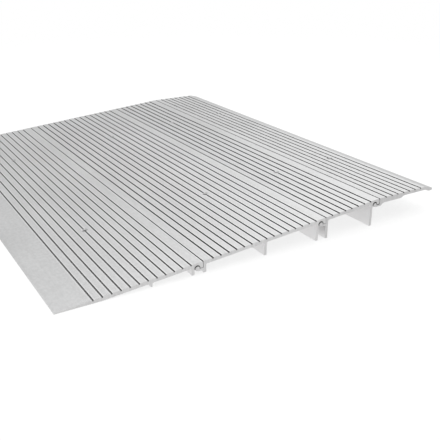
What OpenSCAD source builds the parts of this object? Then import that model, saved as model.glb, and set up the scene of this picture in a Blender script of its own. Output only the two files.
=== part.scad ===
// Threshold ramp of hooked aluminium extrusions: three sloping tread panels on legs and a level top plate.
// Every panel is one profile, drawn with x along the run and y upward, and extruded across the doorway.

/* [Whole ramp] */
// Width across the doorway
ramp_w = 864; // [600:1:1200]
// Height of the sill that the top plate lies on
sill_h = 37.2; // [34:0.1:42]
// Run for one unit of rise
run_per_rise = 12.5; // [11:0.5:16]
// Thickness of the tread plates
tread_t = 6; // [5:0.1:7]
// Bevel on the tread edges that face a joint
edge_bevel = 0.8; // [0.3:0.1:1.2]

/* [Grooves] */
// Width of a groove
groove_w = 2.2; // [1.2:0.1:3.2]
// Depth of a groove
groove_d = 1.6; // [1:0.1:3]
// Bevel on the edges of a groove
groove_bevel = 0.4; // [0.2:0.1:0.7]
// From a panel's last groove to its upper joint
groove_to_joint = 20.3; // [18:0.1:26]

/* [Legs] */
// Thickness of a leg
leg_t = 5; // [3.4:0.1:6.5]
// How far the leg at a panel's lower end stands out under the hook's arm
leg_step = 0.6; // [0.3:0.1:1]
// Rounding of a leg's foot
foot_r = 1; // [0.4:0.1:1.2]
// Fillet where a leg meets the tread
root_r = 2; // [1:0.1:3]

/* [Hook joint] */
// Open gap between the ends of two panels
slit_w = 0.8; // [0.5:0.1:1.5]
// Width of the lip that hangs at the upper end of a panel
lip_w = 5.4; // [4.5:0.1:7]
// Rounding of the lip's lower corners
lip_r = 1.1; // [0.6:0.1:2]
// Radius of the round socket behind the lip
socket_r = 4.8; // [4.5:0.1:6.5]
// Thickness of the tread over the socket
socket_roof_t = 3.8; // [3:0.1:5]
// Radius of the bulb that hangs in the socket
bulb_r = 3.9; // [3.2:0.1:4.3]
// How far the bulb's centre lies above the end of the lip
bulb_rise = 0.3; // [0.1:0.1:0.8]
// Clearance between the bulb and the lip
bulb_gap = 0.45; // [0.3:0.05:0.8]
// Clearance between the lip and the arm below it
arm_gap = 0.75; // [0.6:0.05:1.2]
// How much thicker a sloping panel's arm is at its root than at the bulb
arm_fall = 2.4; // [0.5:0.1:3]

/* [Toe panel] */
// Thickness left at the toe's edge
toe_edge_t = 0.6; // [0.4:0.1:1.5]
// From the toe's edge to the first groove
toe_bare_l = 55.1; // [40:0.1:75]
// Grooves on the toe panel
toe_groove_n = 12; // [10:1:16]
// Place of the panel's first leg, as a share of the panel's length
toe_leg_share = 0.628; // [0.55:0.001:0.75]
// Thickness of the panel's first leg
toe_leg_t = 3.2; // [2.6:0.1:5]
// Groove of the toe panel that the screw holes sit on
toe_hole_groove = 6; // [2:1:8]

/* [Middle panel] */
// From the lower joint to the first groove
middle_lead_l = 17.1; // [13:0.1:22]
// Grooves on the middle panel
middle_groove_n = 15; // [12:1:20]
// Place of the panel's second leg, as a share of the panel's length
middle_leg_share = 0.484; // [0.35:0.001:0.65]
// Groove of the middle panel that the screw holes sit on
middle_hole_groove = 9; // [9:1:12]

/* [Upper panel] */
// From the lower joint to the first groove
upper_lead_l = 13.9; // [12:0.1:20]
// Grooves on the upper panel
upper_groove_n = 7; // [5:1:12]
// Groove of the upper panel that the screw holes sit on
upper_hole_groove = 4; // [2:1:5]

/* [Top plate] */
// From the joint to the first groove
plate_lead_l = 15.6; // [13:0.1:22]
// Grooves on the top plate
plate_groove_n = 7; // [6:1:12]
// From the last groove to the tip of the nose
plate_nose_l = 30.3; // [26:0.1:45]
// How far the seat and the nose stand below the thin part of the plate
plate_seat_drop = 3.5; // [2:0.1:6]
// From the joint to the end of the seat
plate_seat_l = 52; // [35:0.5:56]
// Length of the sloping step between the seat and the thin part
plate_step_l = 6.7; // [3:0.1:10]
// From the joint to where the hook's web runs out into the seat
plate_web_l = 10.5; // [7:0.5:20]
// Length of the flat under the nose
nose_flat_l = 6.5; // [4:0.1:10]
// Length of the slope behind that flat
nose_slope_l = 9; // [5:0.1:14]
// From where the top of the nose starts to fall to its tip
nose_fall_l = 20.3; // [14:0.1:24]
// Rounding of the tip of the nose
nose_r = 2.5; // [1.5:0.1:3.5]
// Groove of the top plate that the screw holes sit on
plate_hole_groove = 5; // [5:1:6]

/* [Screw holes] */
// Distance between the two holes of a panel
hole_spacing = 432; // [300:1:560]
// Diameter of a screw hole
hole_d = 6.2; // [4:0.1:7]
// Diameter of the countersink at the tread surface
sink_d = 11.6; // [9:0.1:13]
// Full angle of the countersink
sink_angle = 90; // [82:1:100]

/* [Hidden] */
$fn = 64;
// How far a cut runs past the surface that it opens
overrun = 2;
// How far a fillet or a rounded corner reaches into the metal that it joins
root_lap = 0.5;
// How far a round face is sunk into the flat face that it runs into
root_sink = 0.02;
metal = [0.80, 0.81, 0.82];
slope = atan(1 / run_per_rise);

// Length along the slope that lifts the top plate to the sill, and the spacing that the grooves then have
plate_seat_t = tread_t + plate_seat_drop;
slope_l = (sill_h + plate_seat_t - toe_edge_t) / sin(slope);
slope_panel_n = 3;
bare_l = toe_bare_l + middle_lead_l + upper_lead_l + slope_panel_n * groove_to_joint;
groove_pitch = (slope_l - bare_l) / (toe_groove_n + middle_groove_n + upper_groove_n - slope_panel_n);

// Lengths along the slope and the joints between the panels
toe_l = groove_s(toe_bare_l, toe_groove_n) + groove_to_joint;
middle_l = groove_s(middle_lead_l, middle_groove_n) + groove_to_joint;
upper_l = groove_s(upper_lead_l, upper_groove_n) + groove_to_joint;
joint_1_s = toe_l;
joint_2_s = joint_1_s + middle_l;
joint_3_s = joint_2_s + upper_l;

// Hook joint, measured back from the joint and down from the tread surface
socket_back = slit_w / 2 + lip_w + socket_r;
socket_depth = socket_roof_t + socket_r;
lip_h = socket_depth + lip_r;
pivot_back = slit_w / 2 + lip_w + bulb_gap + bulb_r;
pivot_depth = lip_h - bulb_rise;
arm_t = bulb_r - bulb_rise - arm_gap;
// The leg under a panel's upper end stands where the socket's wall is plumb
last_leg_back = socket_back * cos(slope) - socket_depth * sin(slope) + socket_r - root_sink;
// The leg under a panel's lower end hangs straight down from just above the tread's lower corner
first_leg_on = slit_w / 2 * cos(slope) + (tread_t - root_lap) * sin(slope);

// Top plate: flush with the upper panel while the plate lies level
joint_3_x = on_slope(joint_3_s, 0)[0];
plate_top_z = on_slope(joint_3_s, 0)[1];
plate_pivot = on_slope(joint_3_s - pivot_back, -pivot_depth);
plate_end_x = plate_pivot[0] + pivot_back + slit_w / 2;
plate_tip_x = joint_3_x + groove_s(plate_lead_l, plate_groove_n) + plate_nose_l;
plate_pivot_depth = plate_top_z - plate_pivot[1];
// Fall of the nose's top, which just runs out on the rounded tip
nose_reach = [nose_fall_l - nose_r, plate_seat_t - nose_r];
nose_fall = atan2(nose_reach[1], nose_reach[0]) - asin((nose_r - root_sink) / norm(nose_reach));

run_l = plate_tip_x;
sink_depth = (sink_d - hole_d) / 2 / tan(sink_angle / 2);

// Point at distance s along the slope from the toe's edge, v above the tread surface
function on_slope(s, v) = [
    s * cos(slope) - v * sin(slope),
    toe_edge_t + s * sin(slope) + v * cos(slope)
];

// Distance to a panel's groove of a given number, where its first groove lies at distance first
function groove_s(first, number) = first + (number - 1) * groove_pitch;

// Height of the tread surface over a place on the floor
function tread_z(x) = toe_edge_t + x * tan(slope);

// Sets a drawing on the slope, with its origin on the tread surface at distance s
module at_slope(s) {
    translate(on_slope(s, 0)) rotate(slope) children();
}

// Sets a profile up across the doorway, with the ramp centred on the origin
module across() {
    translate([-run_l / 2, ramp_w / 2, 0])
        rotate([90, 0, 0])
            linear_extrude(height = ramp_w) children();
}

// Bar that hangs from y = 0, w wide and h long, with its lower corners rounded at r
module hanging_bar(w, h, r) {
    translate([0, r - h]) square([w, h - r]);
    translate([r, -h]) square([w - 2 * r, r]);
    for (x = [r, w - r])
        translate([x, r - h]) circle(r);
}

// Concave fillet to the right of a plumb face, under a surface that climbs at the given tilt
module root_fillet(tilt) {
    drop = root_r / cos(tilt) - root_r * tan(tilt);
    touch = [root_r - root_r * sin(tilt), root_r * cos(tilt) - drop];
    translate([-root_sink, root_sink]) difference() {
        polygon([
            [-root_lap, -drop],
            [root_r, -drop],
            touch,
            touch + root_lap * [-sin(tilt), cos(tilt)],
            [-root_lap, root_lap]
        ]);
        translate([root_r, -drop]) circle(root_r);
    }
}

// Plumb leg of thickness t with its left face at x, rooted in the tread above it
module leg(x, t, left_fillet = true, right_fillet = true) {
    top_z = tread_z(x + t / 2) - tread_t / 2 / cos(slope);
    under_t = tread_t / cos(slope);
    translate([x, top_z]) hanging_bar(t, top_z, foot_r);
    if (right_fillet)
        translate([x + t, tread_z(x + t) - under_t]) root_fillet(slope);
    if (left_fillet)
        translate([x, tread_z(x) - under_t]) mirror([1, 0]) root_fillet(-slope);
}

// Cross-section of count grooves, the first at distance first from the origin
module grooves(first, count) {
    half = groove_w / 2;
    brim = half + groove_bevel + overrun;
    for (number = [1 : count])
        translate([groove_s(first, number), 0])
            polygon([
                [-brim, overrun],
                [-half, -groove_bevel],
                [-half, -groove_d],
                [half, -groove_d],
                [half, -groove_bevel],
                [brim, overrun]
            ]);
}

// Takes the sharp corner off a tread that ends at the origin and lies to its left
module corner_bevel() {
    polygon([
        [-edge_bevel - overrun, overrun],
        [overrun, overrun],
        [overrun, -edge_bevel - overrun]
    ]);
}

// Lip at the upper end of a panel and the metal round its socket, on the slope with the joint at the origin
module lip() {
    translate([-slit_w / 2 - lip_w, overrun]) hanging_bar(lip_w, lip_h + overrun, lip_r);
    translate([-socket_back, -socket_depth]) {
        square(socket_r + root_lap);
        rotate(-slope) translate([-socket_r - root_lap, 0]) square([socket_r + root_lap, socket_r]);
    }
}

// What is cut from the upper end of a panel: its socket and the bevel of its edge
module socket() {
    translate([-socket_back, -socket_depth]) circle(socket_r);
    translate([-slit_w / 2, 0]) corner_bevel();
}

// Bulb of a sloping panel on the end of its arm, with the pivot at the origin and reach to the leg
module bulb_and_arm(reach) {
    circle(bulb_r);
    polygon([
        [0, root_sink - bulb_r],
        [reach, root_sink - bulb_r - arm_fall],
        [reach, arm_t - bulb_r],
        [0, arm_t - bulb_r]
    ]);
}

// Sloping tread between two distances along the slope, too thick until its top is trimmed
module tread(from_s, to_s) {
    at_slope(from_s) translate([0, -tread_t]) square([to_s - from_s, tread_t + overrun]);
}

// All that lies above the tread surface, which is trimmed off in one cut
module above_tread() {
    at_slope(-overrun) square([slope_l + 2 * overrun, 2 * overrun]);
}

// Hook and first leg at the lower end of a panel, where the leg stands out under the arm
module lower_end(joint_s) {
    leg_x = on_slope(joint_s, 0)[0] + first_leg_on;
    arm_z = on_slope(joint_s, arm_t / 2 - bulb_r - pivot_depth)[1];
    at_slope(joint_s)
        translate([-pivot_back, -pivot_depth]) bulb_and_arm(pivot_back + slit_w / 2 + leg_t / 2);
    leg(leg_x, leg_t - leg_step, left_fillet = false);
    translate([leg_x - leg_step, arm_z]) hanging_bar(leg_t / 2 + foot_r, arm_z, foot_r);
}

// Lip and last leg at the upper end of a panel, whose socket is cut later
module upper_end(joint_s) {
    at_slope(joint_s) lip();
    leg(on_slope(joint_s, 0)[0] - last_leg_back - leg_t, leg_t, right_fillet = false);
}

// Two countersunk screw holes, plumb through the tread at a place along the run
module screw_holes(x, top_z) {
    half_angle = sink_angle / 2;
    for (side = [-1, 1])
        translate([x - run_l / 2, side * hole_spacing / 2, top_z]) {
            translate([0, 0, -tread_t - overrun])
                cylinder(d = hole_d, h = tread_t + 2 * overrun);
            translate([0, 0, -sink_depth])
                cylinder(
                    r1 = hole_d / 2,
                    r2 = hole_d / 2 + (sink_depth + overrun) * tan(half_angle),
                    h = sink_depth + overrun
                );
        }
}

// Screw holes on a groove of a sloping panel, at distance s along the slope
module slope_screw_holes(s) {
    place = on_slope(s, 0);
    screw_holes(place[0], place[1]);
}

// Lowest panel: it tapers to the floor at the toe and stands on two legs
module toe_panel() {
    color(metal)
        difference() {
            across() difference() {
                union() {
                    intersection() {
                        tread(-toe_l, joint_1_s - lip_w / 2);
                        square([toe_l, tread_z(toe_l) + 2 * overrun]);
                    }
                    leg(on_slope(toe_leg_share * toe_l, 0)[0] - toe_leg_t / 2, toe_leg_t);
                    upper_end(joint_1_s);
                }
                above_tread();
                at_slope(0) grooves(toe_bare_l, toe_groove_n);
                at_slope(joint_1_s) socket();
            }
            slope_screw_holes(groove_s(toe_bare_l, toe_hole_groove));
        }
}

// Long panel between the toe panel and the upper panel, on three legs
module middle_panel() {
    color(metal)
        difference() {
            across() difference() {
                union() {
                    tread(joint_1_s + slit_w / 2, joint_2_s - lip_w / 2);
                    lower_end(joint_1_s);
                    leg(on_slope(joint_1_s + middle_leg_share * middle_l, 0)[0] - leg_t / 2, leg_t);
                    upper_end(joint_2_s);
                }
                above_tread();
                at_slope(joint_1_s) grooves(middle_lead_l, middle_groove_n);
                at_slope(joint_1_s + slit_w / 2) mirror([1, 0]) corner_bevel();
                at_slope(joint_2_s) socket();
            }
            slope_screw_holes(joint_1_s + groove_s(middle_lead_l, middle_hole_groove));
        }
}

// Short panel that carries the top plate, on two legs
module upper_panel() {
    color(metal)
        difference() {
            across() difference() {
                union() {
                    tread(joint_2_s + slit_w / 2, joint_3_s - lip_w / 2);
                    lower_end(joint_2_s);
                    upper_end(joint_3_s);
                }
                above_tread();
                at_slope(joint_2_s) grooves(upper_lead_l, upper_groove_n);
                at_slope(joint_2_s + slit_w / 2) mirror([1, 0]) corner_bevel();
                at_slope(joint_3_s) socket();
            }
            slope_screw_holes(joint_2_s + groove_s(upper_lead_l, upper_hole_groove));
        }
}

// Top plate without its bulb: arm and web of the hook, seat, thin part and nose
module plate_body(end_x, tip_x) {
    arm_x = end_x - pivot_back - slit_w / 2;
    arm_top = arm_t - bulb_r - plate_pivot_depth;
    arm_under = root_sink - bulb_r - plate_pivot_depth;
    nose_flat_x = tip_x - nose_r - nose_flat_l;
    nose_mid = [tip_x - nose_r, nose_r - plate_seat_t];
    polygon([
        [end_x, 0],
        [end_x, arm_top],
        [arm_x, arm_top],
        [arm_x, arm_under],
        [end_x + leg_t / 2, arm_under],
        [plate_web_l, -plate_seat_t],
        [plate_seat_l, -plate_seat_t],
        [plate_seat_l + plate_step_l, -tread_t],
        [nose_flat_x - nose_slope_l, -tread_t],
        [nose_flat_x, -plate_seat_t],
        [nose_mid[0], -plate_seat_t],
        nose_mid,
        nose_mid + (nose_r - root_sink) * [sin(nose_fall), cos(nose_fall)],
        [tip_x - nose_fall_l, 0]
    ]);
    translate(nose_mid) circle(nose_r);
}

// Level plate that hooks on the upper panel and lies on the sill
module top_plate() {
    plate_l = plate_tip_x - joint_3_x;
    end_x = plate_end_x - joint_3_x;
    color(metal)
        difference() {
            across() difference() {
                union() {
                    translate([joint_3_x, plate_top_z]) plate_body(end_x, plate_l);
                    translate(plate_pivot) circle(bulb_r);
                }
                translate([joint_3_x, plate_top_z]) {
                    grooves(plate_lead_l, plate_groove_n);
                    translate([end_x, 0]) mirror([1, 0]) corner_bevel();
                }
            }
            screw_holes(joint_3_x + groove_s(plate_lead_l, plate_hole_groove), plate_top_z);
        }
}

toe_panel();
middle_panel();
upper_panel();
top_plate();
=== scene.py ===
from math import atan, cos, radians, sin

import bpy
import numpy as np
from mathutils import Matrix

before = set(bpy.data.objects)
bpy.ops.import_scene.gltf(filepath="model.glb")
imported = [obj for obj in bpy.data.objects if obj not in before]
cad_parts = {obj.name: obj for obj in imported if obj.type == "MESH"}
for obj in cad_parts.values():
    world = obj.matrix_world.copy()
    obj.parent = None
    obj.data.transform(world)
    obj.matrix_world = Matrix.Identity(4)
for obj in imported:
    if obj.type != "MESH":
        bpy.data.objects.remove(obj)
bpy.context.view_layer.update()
scene = bpy.context.scene
scene.view_settings.view_transform = "Standard"
print("frame loaded:", ", ".join(sorted(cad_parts)))

# viewpoint in metres and degrees, focal length in pixels of a picture 440 pixels wide
cameraSet = dict(place=(-0.55428, -1.18374, 0.45742), yaw=31.365, pitch=23.2993, focalPx=657.7,
                 widthPx=440, sensor=36.0)


def addCamera():
    data = bpy.data.cameras.new("photoCamera")
    data.sensor_width = cameraSet["sensor"]
    data.lens = cameraSet["focalPx"] / cameraSet["widthPx"] * cameraSet["sensor"]
    camera = bpy.data.objects.new("photoCamera", data)
    camera.location = cameraSet["place"]
    camera.rotation_euler = (radians(90 - cameraSet["pitch"]), 0, radians(-cameraSet["yaw"]))
    scene.collection.objects.link(camera)
    scene.camera = camera


addCamera()
print("camera set")


# small helpers that wire a node tree
def feed(tree, socket, value):
    if isinstance(value, bpy.types.NodeSocket):
        tree.links.new(value, socket)
    else:
        socket.default_value = value


def addNode(tree, kind, inputs=None, **settings):
    node = tree.nodes.new(kind)
    for key, value in settings.items():
        setattr(node, key, value)
    for key, value in (inputs or {}).items():
        feed(tree, node.inputs[key], value)
    return node


def doMath(tree, operation, a, b=0.0, c=0.0):
    return addNode(tree, "ShaderNodeMath", {0: a, 1: b, 2: c}, operation=operation).outputs[0]


def easeStep(tree, value, low, high, atLow=0.0, atHigh=1.0):
    # runs smoothly from atLow at low to atHigh at high
    sockets = {"Value": value, "From Min": low, "From Max": high, "To Min": atLow, "To Max": atHigh}
    node = addNode(tree, "ShaderNodeMapRange", sockets, interpolation_type="SMOOTHSTEP")
    return node.outputs["Result"]


def mixTone(tree, share, a, b):
    return addNode(tree, "ShaderNodeMix", {0: share, 6: a, 7: b}, data_type="RGBA").outputs[2]


def mixValue(tree, share, a, b):
    return addNode(tree, "ShaderNodeMix", {0: share, 2: a, 3: b}, data_type="FLOAT").outputs[0]


def cloudy(tree, vector, scale, detail=2.0, rough=0.5):
    sockets = {"Vector": vector, "Scale": scale, "Detail": detail, "Roughness": rough}
    return addNode(tree, "ShaderNodeTexNoise", sockets).outputs["Fac"]


def mapped(tree, vector, place=(0, 0, 0), turn=(0, 0, 0), size=(1, 1, 1)):
    sockets = {"Vector": vector, "Location": place, "Rotation": turn, "Scale": size}
    return addNode(tree, "ShaderNodeMapping", sockets).outputs["Vector"]


def drawnOut(tree, vector, scale, draw, detail=2.0, rough=0.6):
    # noise that is drawn out along y, the way the aluminium was extruded
    return cloudy(tree, mapped(tree, vector, size=(1, draw, 1)), scale, detail, rough)


def splitXyz(tree, vector):
    return addNode(tree, "ShaderNodeSeparateXYZ", {"Vector": vector}).outputs


def reachOf(tree, a, b):
    # sqrt(a^2 + b^2)
    return doMath(tree, "SQRT", doMath(tree, "MULTIPLY_ADD", a, a, doMath(tree, "MULTIPLY", b, b)))


def newGroup(name, inputs, outputs):
    # inputs maps a socket's name to its kind, or to a plain number for a value
    group = bpy.data.node_groups.new(name, "ShaderNodeTree")
    for socketName, value in inputs.items():
        kind = "NodeSocketVector" if value == "vector" else "NodeSocketFloat"
        socket = group.interface.new_socket(name=socketName, in_out="INPUT", socket_type=kind)
        if value != "vector":
            socket.default_value = value
    for socketName in outputs:
        group.interface.new_socket(name=socketName, in_out="OUTPUT", socket_type="NodeSocketFloat")
    return group, addNode(group, "NodeGroupInput").outputs, addNode(group, "NodeGroupOutput").inputs


def useGroup(tree, group, inputs):
    return addNode(tree, "ShaderNodeGroup", inputs, node_tree=group).outputs


# counts are per metre, each drawn out along the extrusion by its draw; the In values are mixing shares
dieSet = dict(lines=1500.0, linesDraw=0.004, linesDetail=4.0, bands=170.0, bandsDraw=0.012,
              bandsDetail=3.0, grain=2600.0, grainDraw=0.5, speckle=240.0, speckleDraw=0.7,
              smudge=7.0, smudgeDetail=3.0, grainInFine=0.4, speckleInFine=0.6, grainInHeight=0.3,
              smudgeInBroad=0.5, fineInTone=0.65, linesInMatt=0.4)


def makeDieLines():
    # die lines: noise drawn out along the extrusion, a matt grain, coarser specks and large smudges
    group, given, out = newGroup("dieLines", {"Vector": "vector"}, ["Height", "Tone", "Matt"])
    place = given["Vector"]
    lines = drawnOut(group, place, dieSet["lines"], dieSet["linesDraw"], dieSet["linesDetail"])
    bands = drawnOut(group, place, dieSet["bands"], dieSet["bandsDraw"], dieSet["bandsDetail"])
    grain = drawnOut(group, place, dieSet["grain"], dieSet["grainDraw"])
    speckle = drawnOut(group, place, dieSet["speckle"], dieSet["speckleDraw"])
    smudge = cloudy(group, place, dieSet["smudge"], dieSet["smudgeDetail"])
    fine = mixValue(group, dieSet["grainInFine"], lines, grain)
    fine = mixValue(group, dieSet["speckleInFine"], fine, speckle)
    broad = mixValue(group, dieSet["smudgeInBroad"], bands, smudge)
    feed(group, out["Height"], mixValue(group, dieSet["grainInHeight"], lines, grain))
    feed(group, out["Tone"], mixValue(group, dieSet["fineInTone"], broad, fine))
    feed(group, out["Matt"], mixValue(group, dieSet["linesInMatt"], smudge, lines))
    return group


# painted shade in the grooves and the slits at the panels' ends, and a painted highlight beside them
# that also
# stands for wear: heights off the tread surface, and widths past a groove's wall or in from a panel's
# end, in metres; the last six values say how patchy the edge of the painted shade is
grooveSet = dict(halfWidth=0.0011, unshadedAbove=-0.00025, shadedBelow=-0.0004, edgeIn=0.0001, edgeOut=0.0004,
                 floor=-0.0017, floorEnd=-0.002, floorShadeTop=-0.00135, floorShadeLow=-0.00155, brimIn=0.0006,
                 brimOut=0.0028, brimTop=-0.0004, shadeEdge=300.0, shadeEdgeDraw=0.12, shadeEdgeLow=0.3, shadeEdgeHigh=0.7,
                 shadeEdgeLeast=0.6, shadeEdgeMost=1.4)
# painted shade in the slits at the panels' ends: the width of its fade and the heights it spans, in
# metres
slitSet = dict(fade=0.0003, low=-0.0015, end=-0.003)


def makeGrooveGrime():
    # painted shade in the grooves and in the slits at the panels' ends, darkest on the walls and paler
    # on the groove floor, and a painted highlight beside them that also stands for wear: distance to the
    # nearest of
    # Count grooves and to the panel's ends, x up the panel and z off its tread. Rise lifts the painted
    # shade and spreads it past the walls, Slit is its width at the panel's ends, and the last input is
    # the share of the paler painted shade on the groove floor
    inputs = {"Vector": "vector", "First": 0.0, "Pitch": 0.014, "Count": 12.0, "Start": 0.0, "End": 0.2,
              "Rise": 0.0, "Slit": 0.0003, "Paler": 1.0}
    group, given, out = newGroup("grooveGrime", inputs, ["Grime", "FloorShade", "Brim"])
    place = splitXyz(group, given["Vector"])
    fromFirst = doMath(group, "SUBTRACT", place["X"], given["First"])
    along = doMath(group, "DIVIDE", fromFirst, given["Pitch"])
    last = doMath(group, "SUBTRACT", given["Count"], 1.0)
    nearest = doMath(group, "MAXIMUM", doMath(group, "ROUND", along), 0.0)
    nearest = doMath(group, "MINIMUM", nearest, last)
    offset = doMath(group, "MULTIPLY", doMath(group, "SUBTRACT", along, nearest), given["Pitch"])
    past = doMath(group, "SUBTRACT", doMath(group, "ABSOLUTE", offset), grooveSet["halfWidth"])
    patchy = drawnOut(group, given["Vector"], grooveSet["shadeEdge"], grooveSet["shadeEdgeDraw"])
    patchy = easeStep(group, patchy, grooveSet["shadeEdgeLow"], grooveSet["shadeEdgeHigh"],
                      grooveSet["shadeEdgeLeast"], grooveSet["shadeEdgeMost"])
    pastShade = doMath(group, "SUBTRACT", past, doMath(group, "MULTIPLY", given["Rise"], patchy))
    inside = easeStep(group, pastShade, grooveSet["edgeIn"], grooveSet["edgeOut"], 1.0, 0.0)
    level = doMath(group, "SUBTRACT", place["Z"], given["Rise"])
    deep = easeStep(group, level, grooveSet["shadedBelow"], grooveSet["unshadedAbove"], 1.0, 0.0)
    aboveFloor = easeStep(group, place["Z"], grooveSet["floorEnd"], grooveSet["floor"])
    inGroove = doMath(group, "MULTIPLY", inside, aboveFloor)
    fromStart = doMath(group, "SUBTRACT", place["X"], given["Start"])
    fromEnd = doMath(group, "SUBTRACT", given["End"], place["X"])
    inFromEnd = doMath(group, "MINIMUM", fromStart, fromEnd)
    slitEnd = doMath(group, "ADD", given["Slit"], slitSet["fade"])
    atEnd = easeStep(group, inFromEnd, given["Slit"], slitEnd, 1.0, 0.0)
    aboveEnd = easeStep(group, place["Z"], slitSet["end"], slitSet["low"])
    shadedShare = doMath(group, "MAXIMUM", inGroove, doMath(group, "MULTIPLY", atEnd, aboveEnd))
    feed(group, out["Grime"], doMath(group, "MULTIPLY", shadedShare, deep))
    paler = easeStep(group, place["Z"], grooveSet["floorShadeLow"], grooveSet["floorShadeTop"], 1.0, 0.0)
    paler = doMath(group, "MULTIPLY", paler, given["Paler"])
    feed(group, out["FloorShade"], doMath(group, "MULTIPLY", inGroove, paler))
    fromEdge = doMath(group, "MINIMUM", past, inFromEnd)
    beside = easeStep(group, fromEdge, grooveSet["brimIn"], grooveSet["brimOut"], 1.0, 0.0)
    high = easeStep(group, place["Z"], grooveSet["brimTop"], 0.0)
    feed(group, out["Brim"], doMath(group, "MULTIPLY", beside, high))
    return group


# screw holes: their distance across the ramp, radii from the axis and heights off the tread, in metres;
# the last value is the share of painted shade on the countersink
holeSet = dict(spacing=0.432, bore=0.0034, boreFade=0.0039, rim=0.0056, rimFade=0.006, top=-0.00005,
               under=-0.00015, low=-0.0055, end=-0.0058, sinkShade=0.05)


def makeHoleGrime():
    # painted shade in the screw holes: r = sqrt(dx^2 + dy^2) from a hole's axis, dark in the bore, with
    # a share of painted shade on the countersink. Sunk is 1 on the countersink, where no groove runs on
    inputs = {"Vector": "vector", "Hole": 0.1, "SinkShade": holeSet["sinkShade"]}
    group, given, out = newGroup("holeGrime", inputs, ["Grime", "Sunk"])
    place = splitXyz(group, given["Vector"])
    along = doMath(group, "SUBTRACT", place["X"], given["Hole"])
    across = doMath(group, "SUBTRACT", doMath(group, "ABSOLUTE", place["Y"]), holeSet["spacing"] / 2)
    reach = reachOf(group, along, across)
    bore = easeStep(group, reach, holeSet["bore"], holeSet["boreFade"], 1.0, 0.0)
    inRim = easeStep(group, reach, holeSet["rim"], holeSet["rimFade"], 1.0, 0.0)
    sinkShaded = doMath(group, "MULTIPLY", inRim, given["SinkShade"])
    below = easeStep(group, place["Z"], holeSet["under"], holeSet["top"], 1.0, 0.0)
    above = easeStep(group, place["Z"], holeSet["end"], holeSet["low"])
    shadedShare = doMath(group, "MAXIMUM", bore, sinkShaded)
    inHole = doMath(group, "MULTIPLY", below, above)
    feed(group, out["Grime"], doMath(group, "MULTIPLY", shadedShare, inHole))
    feed(group, out["Sunk"], inRim)
    return group


# hook joints: places from a panel's end faces and tread, radii and widths of the painted shade along the
# gaps, in metres
hookSet = dict(socketBack=0.0102, socketDrop=0.0086, socketRadius=0.0048, bulbBack=0.01055,
               bulbDrop=0.0094, bulbRadius=0.0039, shadeEdge=0.0003, shadeEdgeFade=0.0006, armTop=-0.0014,
               overArm=-0.001)


def makeHookGrime():
    # painted shade along the hook gaps: r = sqrt(dx^2 + dz^2) from the middles of socket and bulb, dark
    # close to the radius of each
    inputs = {"Vector": "vector", "Start": 0.0, "End": 0.2, "Drop": hookSet["bulbDrop"]}
    group, given, out = newGroup("hookGrime", inputs, ["Socket", "Bulb"])
    place = splitXyz(group, given["Vector"])

    def nearRing(along, up, radius):
        off = doMath(group, "ABSOLUTE", doMath(group, "SUBTRACT", reachOf(group, along, up), radius))
        return easeStep(group, off, hookSet["shadeEdge"], hookSet["shadeEdgeFade"], 1.0, 0.0)

    fromEnd = doMath(group, "SUBTRACT", place["X"], given["End"])
    socketAlong = doMath(group, "ADD", fromEnd, hookSet["socketBack"])
    socketUp = doMath(group, "ADD", place["Z"], hookSet["socketDrop"])
    feed(group, out["Socket"], nearRing(socketAlong, socketUp, hookSet["socketRadius"]))
    fromStart = doMath(group, "SUBTRACT", place["X"], given["Start"])
    bulbAlong = doMath(group, "ADD", fromStart, hookSet["bulbBack"])
    bulbUp = doMath(group, "ADD", place["Z"], given["Drop"])
    bulb = nearRing(bulbAlong, bulbUp, hookSet["bulbRadius"])
    overArm = easeStep(group, bulbUp, hookSet["armTop"], hookSet["overArm"])
    feed(group, out["Bulb"], doMath(group, "MULTIPLY", bulb, overArm))
    return group


# slant in degrees, counts per metre, the cut at half the ramp's width in metres; the facing values are
# how squarely a face looks along the extrusion
sawSet = dict(slant=17.0, strokes=1700.0, strokesDraw=0.02, strokesDetail=3.0, strokesRough=0.6,
              sweeps=420.0, sweepsDraw=0.05, inside=0.431, cut=0.4318, facingLow=0.85, facingHigh=0.95)


def makeSawCut():
    # end faces: close saw lines on a slant, on faces at the ends that look along the extrusion
    inputs = {"Vector": "vector", "Normal": "vector"}
    group, given, out = newGroup("sawCut", inputs, ["Mask", "Height", "Tone"])
    facing = doMath(group, "ABSOLUTE", splitXyz(group, given["Normal"])["Y"])
    across = doMath(group, "ABSOLUTE", splitXyz(group, given["Vector"])["Y"])
    atCut = easeStep(group, across, sawSet["inside"], sawSet["cut"])
    endOn = easeStep(group, facing, sawSet["facingLow"], sawSet["facingHigh"])
    feed(group, out["Mask"], doMath(group, "MULTIPLY", endOn, atCut))
    turn = (0, radians(sawSet["slant"]), 0)
    strokes = mapped(group, given["Vector"], turn=turn, size=(1, 1, sawSet["strokesDraw"]))
    sweeps = mapped(group, given["Vector"], turn=turn, size=(1, 1, sawSet["sweepsDraw"]))
    height = cloudy(group, strokes, sawSet["strokes"], sawSet["strokesDetail"], sawSet["strokesRough"])
    feed(group, out["Height"], height)
    feed(group, out["Tone"], cloudy(group, sweeps, sawSet["sweeps"]))
    return group


# how squarely a face looks along the run
legSet = dict(facingLow=0.8, facingHigh=0.95)


def makeLitLegFaces():
    # 1 on plumb faces that look along the run, which get a lighter copy of the aluminium as painted
    # light
    group, given, out = newGroup("legFaces", {"Normal": "vector"}, ["Mask"])
    facing = doMath(group, "ABSOLUTE", splitXyz(group, given["Normal"])["X"])
    feed(group, out["Mask"], easeStep(group, facing, legSet["facingLow"], legSet["facingHigh"]))
    return group


dieLines, grooveGrime, holeGrime = makeDieLines(), makeGrooveGrime(), makeHoleGrime()
hookGrime, sawCut, legFaces = makeHookGrime(), makeSawCut(), makeLitLegFaces()

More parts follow.
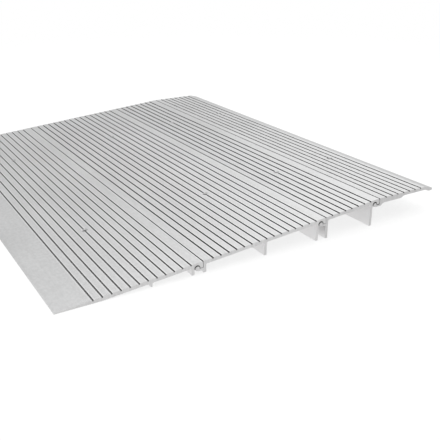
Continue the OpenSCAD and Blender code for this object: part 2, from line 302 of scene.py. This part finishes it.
# mill-finish aluminium, tones in linear light, with a painted shade tone for grooves, holes and hook
# gaps, a paler one for the groove floors, a painted lighter tone for plumb faces, a painted shade tone
# for the nose and a painted highlight beside the grooves that also stands for wear; the Low and High
# values are levels of the noise
millSet = dict(pale=(0.483, 0.484, 0.485, 1), dull=(0.413, 0.414, 0.415, 1), toneLow=0.35,
               toneHigh=0.65, wornSheen=(0.588, 0.589, 0.59, 1), leg=(0.79, 0.784, 0.786, 1),
               sawnPale=(0.633, 0.631, 0.632, 1), sawnDull=(0.57, 0.568, 0.569, 1), sawnLow=0.3,
               sawnHigh=0.7, shadeTone=(0.04, 0.04, 0.04, 1), floorShadeTone=(0.17, 0.169, 0.168, 1),
               rubbed=(0.385, 0.386, 0.387, 1), noseFade=0.004, shadeAmount=0.95, wornSheenAmount=0.7,
               rough=0.50, roughSpread=0.1, mattLow=0.3, mattHigh=0.7, sawRough=0.52,
               bumpDepth=0.00004, bumpStrength=0.35)


def shaded(tone, shade):
    return tuple(channel * shade for channel in tone[:3]) + tone[3:]


def makeMill(name, panel, origin, turn):
    material = bpy.data.materials.new(name)
    material.use_nodes = True
    tree = material.node_tree
    tree.nodes.clear()
    coords = addNode(tree, "ShaderNodeTexCoord").outputs
    # puts x up the panel and z off its tread surface
    shifted = mapped(tree, coords["Object"], place=(-origin[0], 0, -origin[1]))
    onPanel = mapped(tree, shifted, turn=(0, turn, 0))
    die = useGroup(tree, dieLines, {"Vector": coords["Object"]})
    saw = useGroup(tree, sawCut, {"Vector": coords["Object"], "Normal": coords["Normal"]})
    leg = useGroup(tree, legFaces, {"Normal": coords["Normal"]})
    sockets = {"Vector": onPanel, "Pitch": rampSet["pitch"]}
    for socketName in ("First", "Count", "Start", "End", "Rise", "Slit", "Paler"):
        sockets[socketName] = panel[socketName.lower()]
    groove = useGroup(tree, grooveGrime, sockets)
    holePlace = panel["first"] + panel["holeAt"] * rampSet["pitch"]
    sinkShade = panel.get("sinkShade", holeSet["sinkShade"])
    hole = useGroup(tree, holeGrime, {"Vector": onPanel, "Hole": holePlace, "SinkShade": sinkShade})
    sockets = {"Vector": onPanel, "Start": panel["start"], "End": panel["end"],
               "Drop": panel.get("bulbDrop", hookSet["bulbDrop"])}
    hook = useGroup(tree, hookGrime, sockets)

    pale, dull, wornSheen = (shaded(millSet[tone], panel["shade"]) for tone in ("pale", "dull", "wornSheen"))
    sawnPale = shaded(millSet["sawnPale"], panel["sawnShade"])
    sawnDull = shaded(millSet["sawnDull"], panel["sawnShade"])
    paleAt = easeStep(tree, die["Tone"], millSet["toneLow"], millSet["toneHigh"])
    metal = mixTone(tree, paleAt, dull, pale)
    if "nose" in panel:
        # painted shade: the falling nose is made darker, as if less light fell on it
        alongPanel = splitXyz(tree, onPanel)["X"]
        noseShadeAt = easeStep(tree, alongPanel, panel["nose"], panel["nose"] + millSet["noseFade"])
        metal = mixTone(tree, noseShadeAt, metal, millSet["rubbed"])
    # painted light: plumb faces take a lighter copy of the aluminium
    metal = mixTone(tree, leg["Mask"], metal, millSet["leg"])
    # painted highlight beside the grooves and the panels' ends, which also stands for wear
    wornSheenAt = doMath(tree, "MULTIPLY", groove["Brim"], millSet["wornSheenAmount"])
    metal = mixTone(tree, wornSheenAt, metal, wornSheen)
    # painted shade in the grooves, slits and screw holes, paler on the groove floor
    offHole = doMath(tree, "SUBTRACT", 1.0, hole["Sunk"])
    grooveShade = doMath(tree, "MULTIPLY", groove["Grime"], offHole)
    shadeShare = doMath(tree, "MAXIMUM", grooveShade, hole["Grime"])
    shadeMix = mixTone(tree, groove["FloorShade"], millSet["shadeTone"], millSet["floorShadeTone"])
    metal = mixTone(tree, doMath(tree, "MULTIPLY", shadeShare, millSet["shadeAmount"]), metal, shadeMix)
    sawnPaleAt = easeStep(tree, saw["Tone"], millSet["sawnLow"], millSet["sawnHigh"])
    sawn = mixTone(tree, sawnPaleAt, sawnDull, sawnPale)
    colour = mixTone(tree, saw["Mask"], metal, sawn)
    # painted shade along the hook gaps
    socketShade = doMath(tree, "MULTIPLY", hook["Socket"], panel["socketShade"])
    bulbShade = doMath(tree, "MULTIPLY", hook["Bulb"], panel["bulbShade"])
    colour = mixTone(tree, doMath(tree, "MAXIMUM", socketShade, bulbShade), colour, millSet["shadeTone"])

    smoothest = millSet["rough"] - millSet["roughSpread"] / 2
    rough = easeStep(tree, die["Matt"], millSet["mattLow"], millSet["mattHigh"], smoothest,
                     smoothest + millSet["roughSpread"])
    rough = mixValue(tree, saw["Mask"], rough, millSet["sawRough"])
    relief = mixValue(tree, saw["Mask"], die["Height"], saw["Height"])
    sockets = {"Strength": millSet["bumpStrength"], "Distance": millSet["bumpDepth"], "Height": relief}
    bump = addNode(tree, "ShaderNodeBump", sockets).outputs["Normal"]
    sockets = {"Base Color": colour, "Metallic": 1.0, "Roughness": rough, "Normal": bump}
    shader = addNode(tree, "ShaderNodeBsdfPrincipled", sockets)
    addNode(tree, "ShaderNodeOutputMaterial", {"Surface": shader.outputs["BSDF"]})
    return material


# the ramp's sizes in metres, as the solids have them
rampSet = dict(run=0.705587, toeEdge=0.0006, slope=atan(1 / 12.5), pitch=0.01390616, joint1=0.2283678,
               joint2=0.4604541, joint3=0.5780911)
# joint is the panel's own origin: its first groove, its start and end faces and its nose are measured
# from there, and a face that it lacks lies far off. holeAt is the groove with the screw holes, and the
# rest sets the painted shade in the grooves, slits, holes and hook gaps, and the tone factors of tread
# and sawn ends
panelSets = {
    "toe_panel": dict(joint=0.0, first=0.0551, count=12, start=-1.0, end=0.2279678, holeAt=5,
                      rise=0.0001, slit=0.0003, paler=1.0, shade=0.993, sawnShade=1.0,
                      socketShade=0.4, bulbShade=0.0),
    "middle_panel": dict(joint=rampSet["joint1"], first=0.0171, count=15, start=0.0004, end=0.2316863,
                         holeAt=8, rise=0.0003, slit=0.0004, paler=0.4, shade=1.0, sawnShade=1.0,
                         socketShade=0.5, bulbShade=0.4),
    "upper_panel": dict(joint=rampSet["joint2"], first=0.0139, count=7, start=0.0004, end=0.117237,
                        holeAt=3, rise=0.0004, slit=0.0008, paler=0.3, shade=0.985, sawnShade=0.935,
                        socketShade=0.5, bulbShade=0.5),
    "top_plate": dict(joint=rampSet["joint3"], first=0.0156, count=7, start=0.00118, end=1.0,
                      holeAt=4, rise=0.0004, slit=0.0002, paler=0.3, shade=1.005, sawnShade=0.9,
                      socketShade=0.0, bulbShade=0.5, bulbDrop=0.01018, sinkShade=0.5, nose=0.107, level=True),
}


def slopePoint(distance):
    # distance along the slope from the toe's edge, as x and z
    x = distance * cos(rampSet["slope"]) - rampSet["run"] / 2
    return x, rampSet["toeEdge"] + distance * sin(rampSet["slope"])


for nodeName, panel in panelSets.items():
    turn = 0.0 if panel.get("level") else rampSet["slope"]
    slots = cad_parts[nodeName].data.materials
    slots.clear()
    slots.append(makeMill("millAluminium." + nodeName, panel, slopePoint(panel["joint"]), turn))
print("aluminium on", len(panelSets), "panels")

# plain pale floor just under the feet; seen and mirrored are the shares at which white shows through it,
# and from fadeStart to fadeEnd out it turns wholly white
floorSet = dict(radius=9.0, height=-0.0005, rings=24, spokes=96, innerShare=0.002,
                tone=(0.9, 0.9, 0.9, 1), seen=0.8, mirrored=0.92, fadeStart=0.8, fadeEnd=2.4)


def makeFloor():
    # disc: x = r cos t, y = r sin t, with r growing as the square of its share
    shares = np.linspace(floorSet["innerShare"], 1, floorSet["rings"]) ** 2
    spins = np.linspace(0, 2 * np.pi, floorSet["spokes"], endpoint=False)
    share, spin = np.meshgrid(shares, spins, indexing="ij")
    reach = floorSet["radius"] * share
    level = np.full_like(reach, floorSet["height"])
    points = np.stack([reach * np.cos(spin), reach * np.sin(spin), level], -1)
    index = np.arange(points.shape[0] * points.shape[1]).reshape(points.shape[:2])
    after = np.roll(index, -1, axis=1)
    quads = np.stack([index[:-1], index[1:], after[1:], after[:-1]], -1).reshape(-1, 4)
    mesh = bpy.data.meshes.new("floor")
    mesh.from_pydata(points.reshape(-1, 3).tolist(), [], quads.tolist() + [index[0].tolist()])
    mesh.materials.append(makeFloorPaint())
    floor = bpy.data.objects.new("floor", mesh)
    scene.collection.objects.link(floor)


def makeFloorPaint():
    # white shows through for camera, glossy and transmission rays, and fully from below and far out
    material = bpy.data.materials.new("paleFloor")
    material.use_nodes = True
    tree = material.node_tree
    tree.nodes.clear()
    path = addNode(tree, "ShaderNodeLightPath").outputs
    under = addNode(tree, "ShaderNodeNewGeometry").outputs["Backfacing"]
    mirrored = doMath(tree, "MAXIMUM", path["Is Glossy Ray"], path["Is Transmission Ray"])
    place = splitXyz(tree, addNode(tree, "ShaderNodeTexCoord").outputs["Object"])
    reach = reachOf(tree, place["X"], place["Y"])
    seen = easeStep(tree, reach, floorSet["fadeStart"], floorSet["fadeEnd"], floorSet["seen"], 1.0)
    through = doMath(tree, "MAXIMUM", doMath(tree, "MULTIPLY", path["Is Camera Ray"], seen),
                     doMath(tree, "MULTIPLY", mirrored, floorSet["mirrored"]))
    below = doMath(tree, "MULTIPLY", under, doMath(tree, "MAXIMUM", path["Is Camera Ray"], mirrored))
    matt = addNode(tree, "ShaderNodeBsdfDiffuse", {"Color": floorSet["tone"]})
    clear = addNode(tree, "ShaderNodeBsdfTransparent")
    share = doMath(tree, "MAXIMUM", through, below)
    both = addNode(tree, "ShaderNodeMixShader", {0: share, 1: matt.outputs[0], 2: clear.outputs[0]})
    addNode(tree, "ShaderNodeOutputMaterial", {"Surface": both.outputs[0]})
    return material


worldSet = dict(lit=0.85, shown=1.0)


def makeWorld():
    # white: shown to camera, glossy and transmission rays, a little dimmer to the rays that carry light
    world = bpy.data.worlds.new("whiteRoom")
    world.use_nodes = True
    scene.world = world
    tree = world.node_tree
    tree.nodes.clear()
    path = addNode(tree, "ShaderNodeLightPath").outputs
    mirrored = doMath(tree, "MAXIMUM", path["Is Glossy Ray"], path["Is Transmission Ray"])
    direct = doMath(tree, "MAXIMUM", path["Is Camera Ray"], mirrored)
    strength = mixValue(tree, direct, worldSet["lit"], worldSet["shown"])
    back = addNode(tree, "ShaderNodeBackground", {"Color": (1, 1, 1, 1), "Strength": strength})
    addNode(tree, "ShaderNodeOutputWorld", {"Surface": back.outputs[0]})


softboxSet = dict(place=(0.62, 0.03, 1.8), aim=(0.0, 0.0, 0.0), size=3.2, watts=46.0)


def addSoftbox():
    data = bpy.data.lights.new("keySoftbox", "AREA")
    data.size = softboxSet["size"]
    data.energy = softboxSet["watts"]
    softbox = bpy.data.objects.new("keySoftbox", data)
    softbox.location = softboxSet["place"]
    aim = np.array(softboxSet["aim"]) - np.array(softboxSet["place"])
    tilt = np.arctan2(np.hypot(aim[0], aim[1]), -aim[2])
    softbox.rotation_euler = (tilt, 0, np.arctan2(aim[0], -aim[1]) + np.pi)
    scene.collection.objects.link(softbox)


makeFloor()
makeWorld()
addSoftbox()
print("floor, world and softbox set")
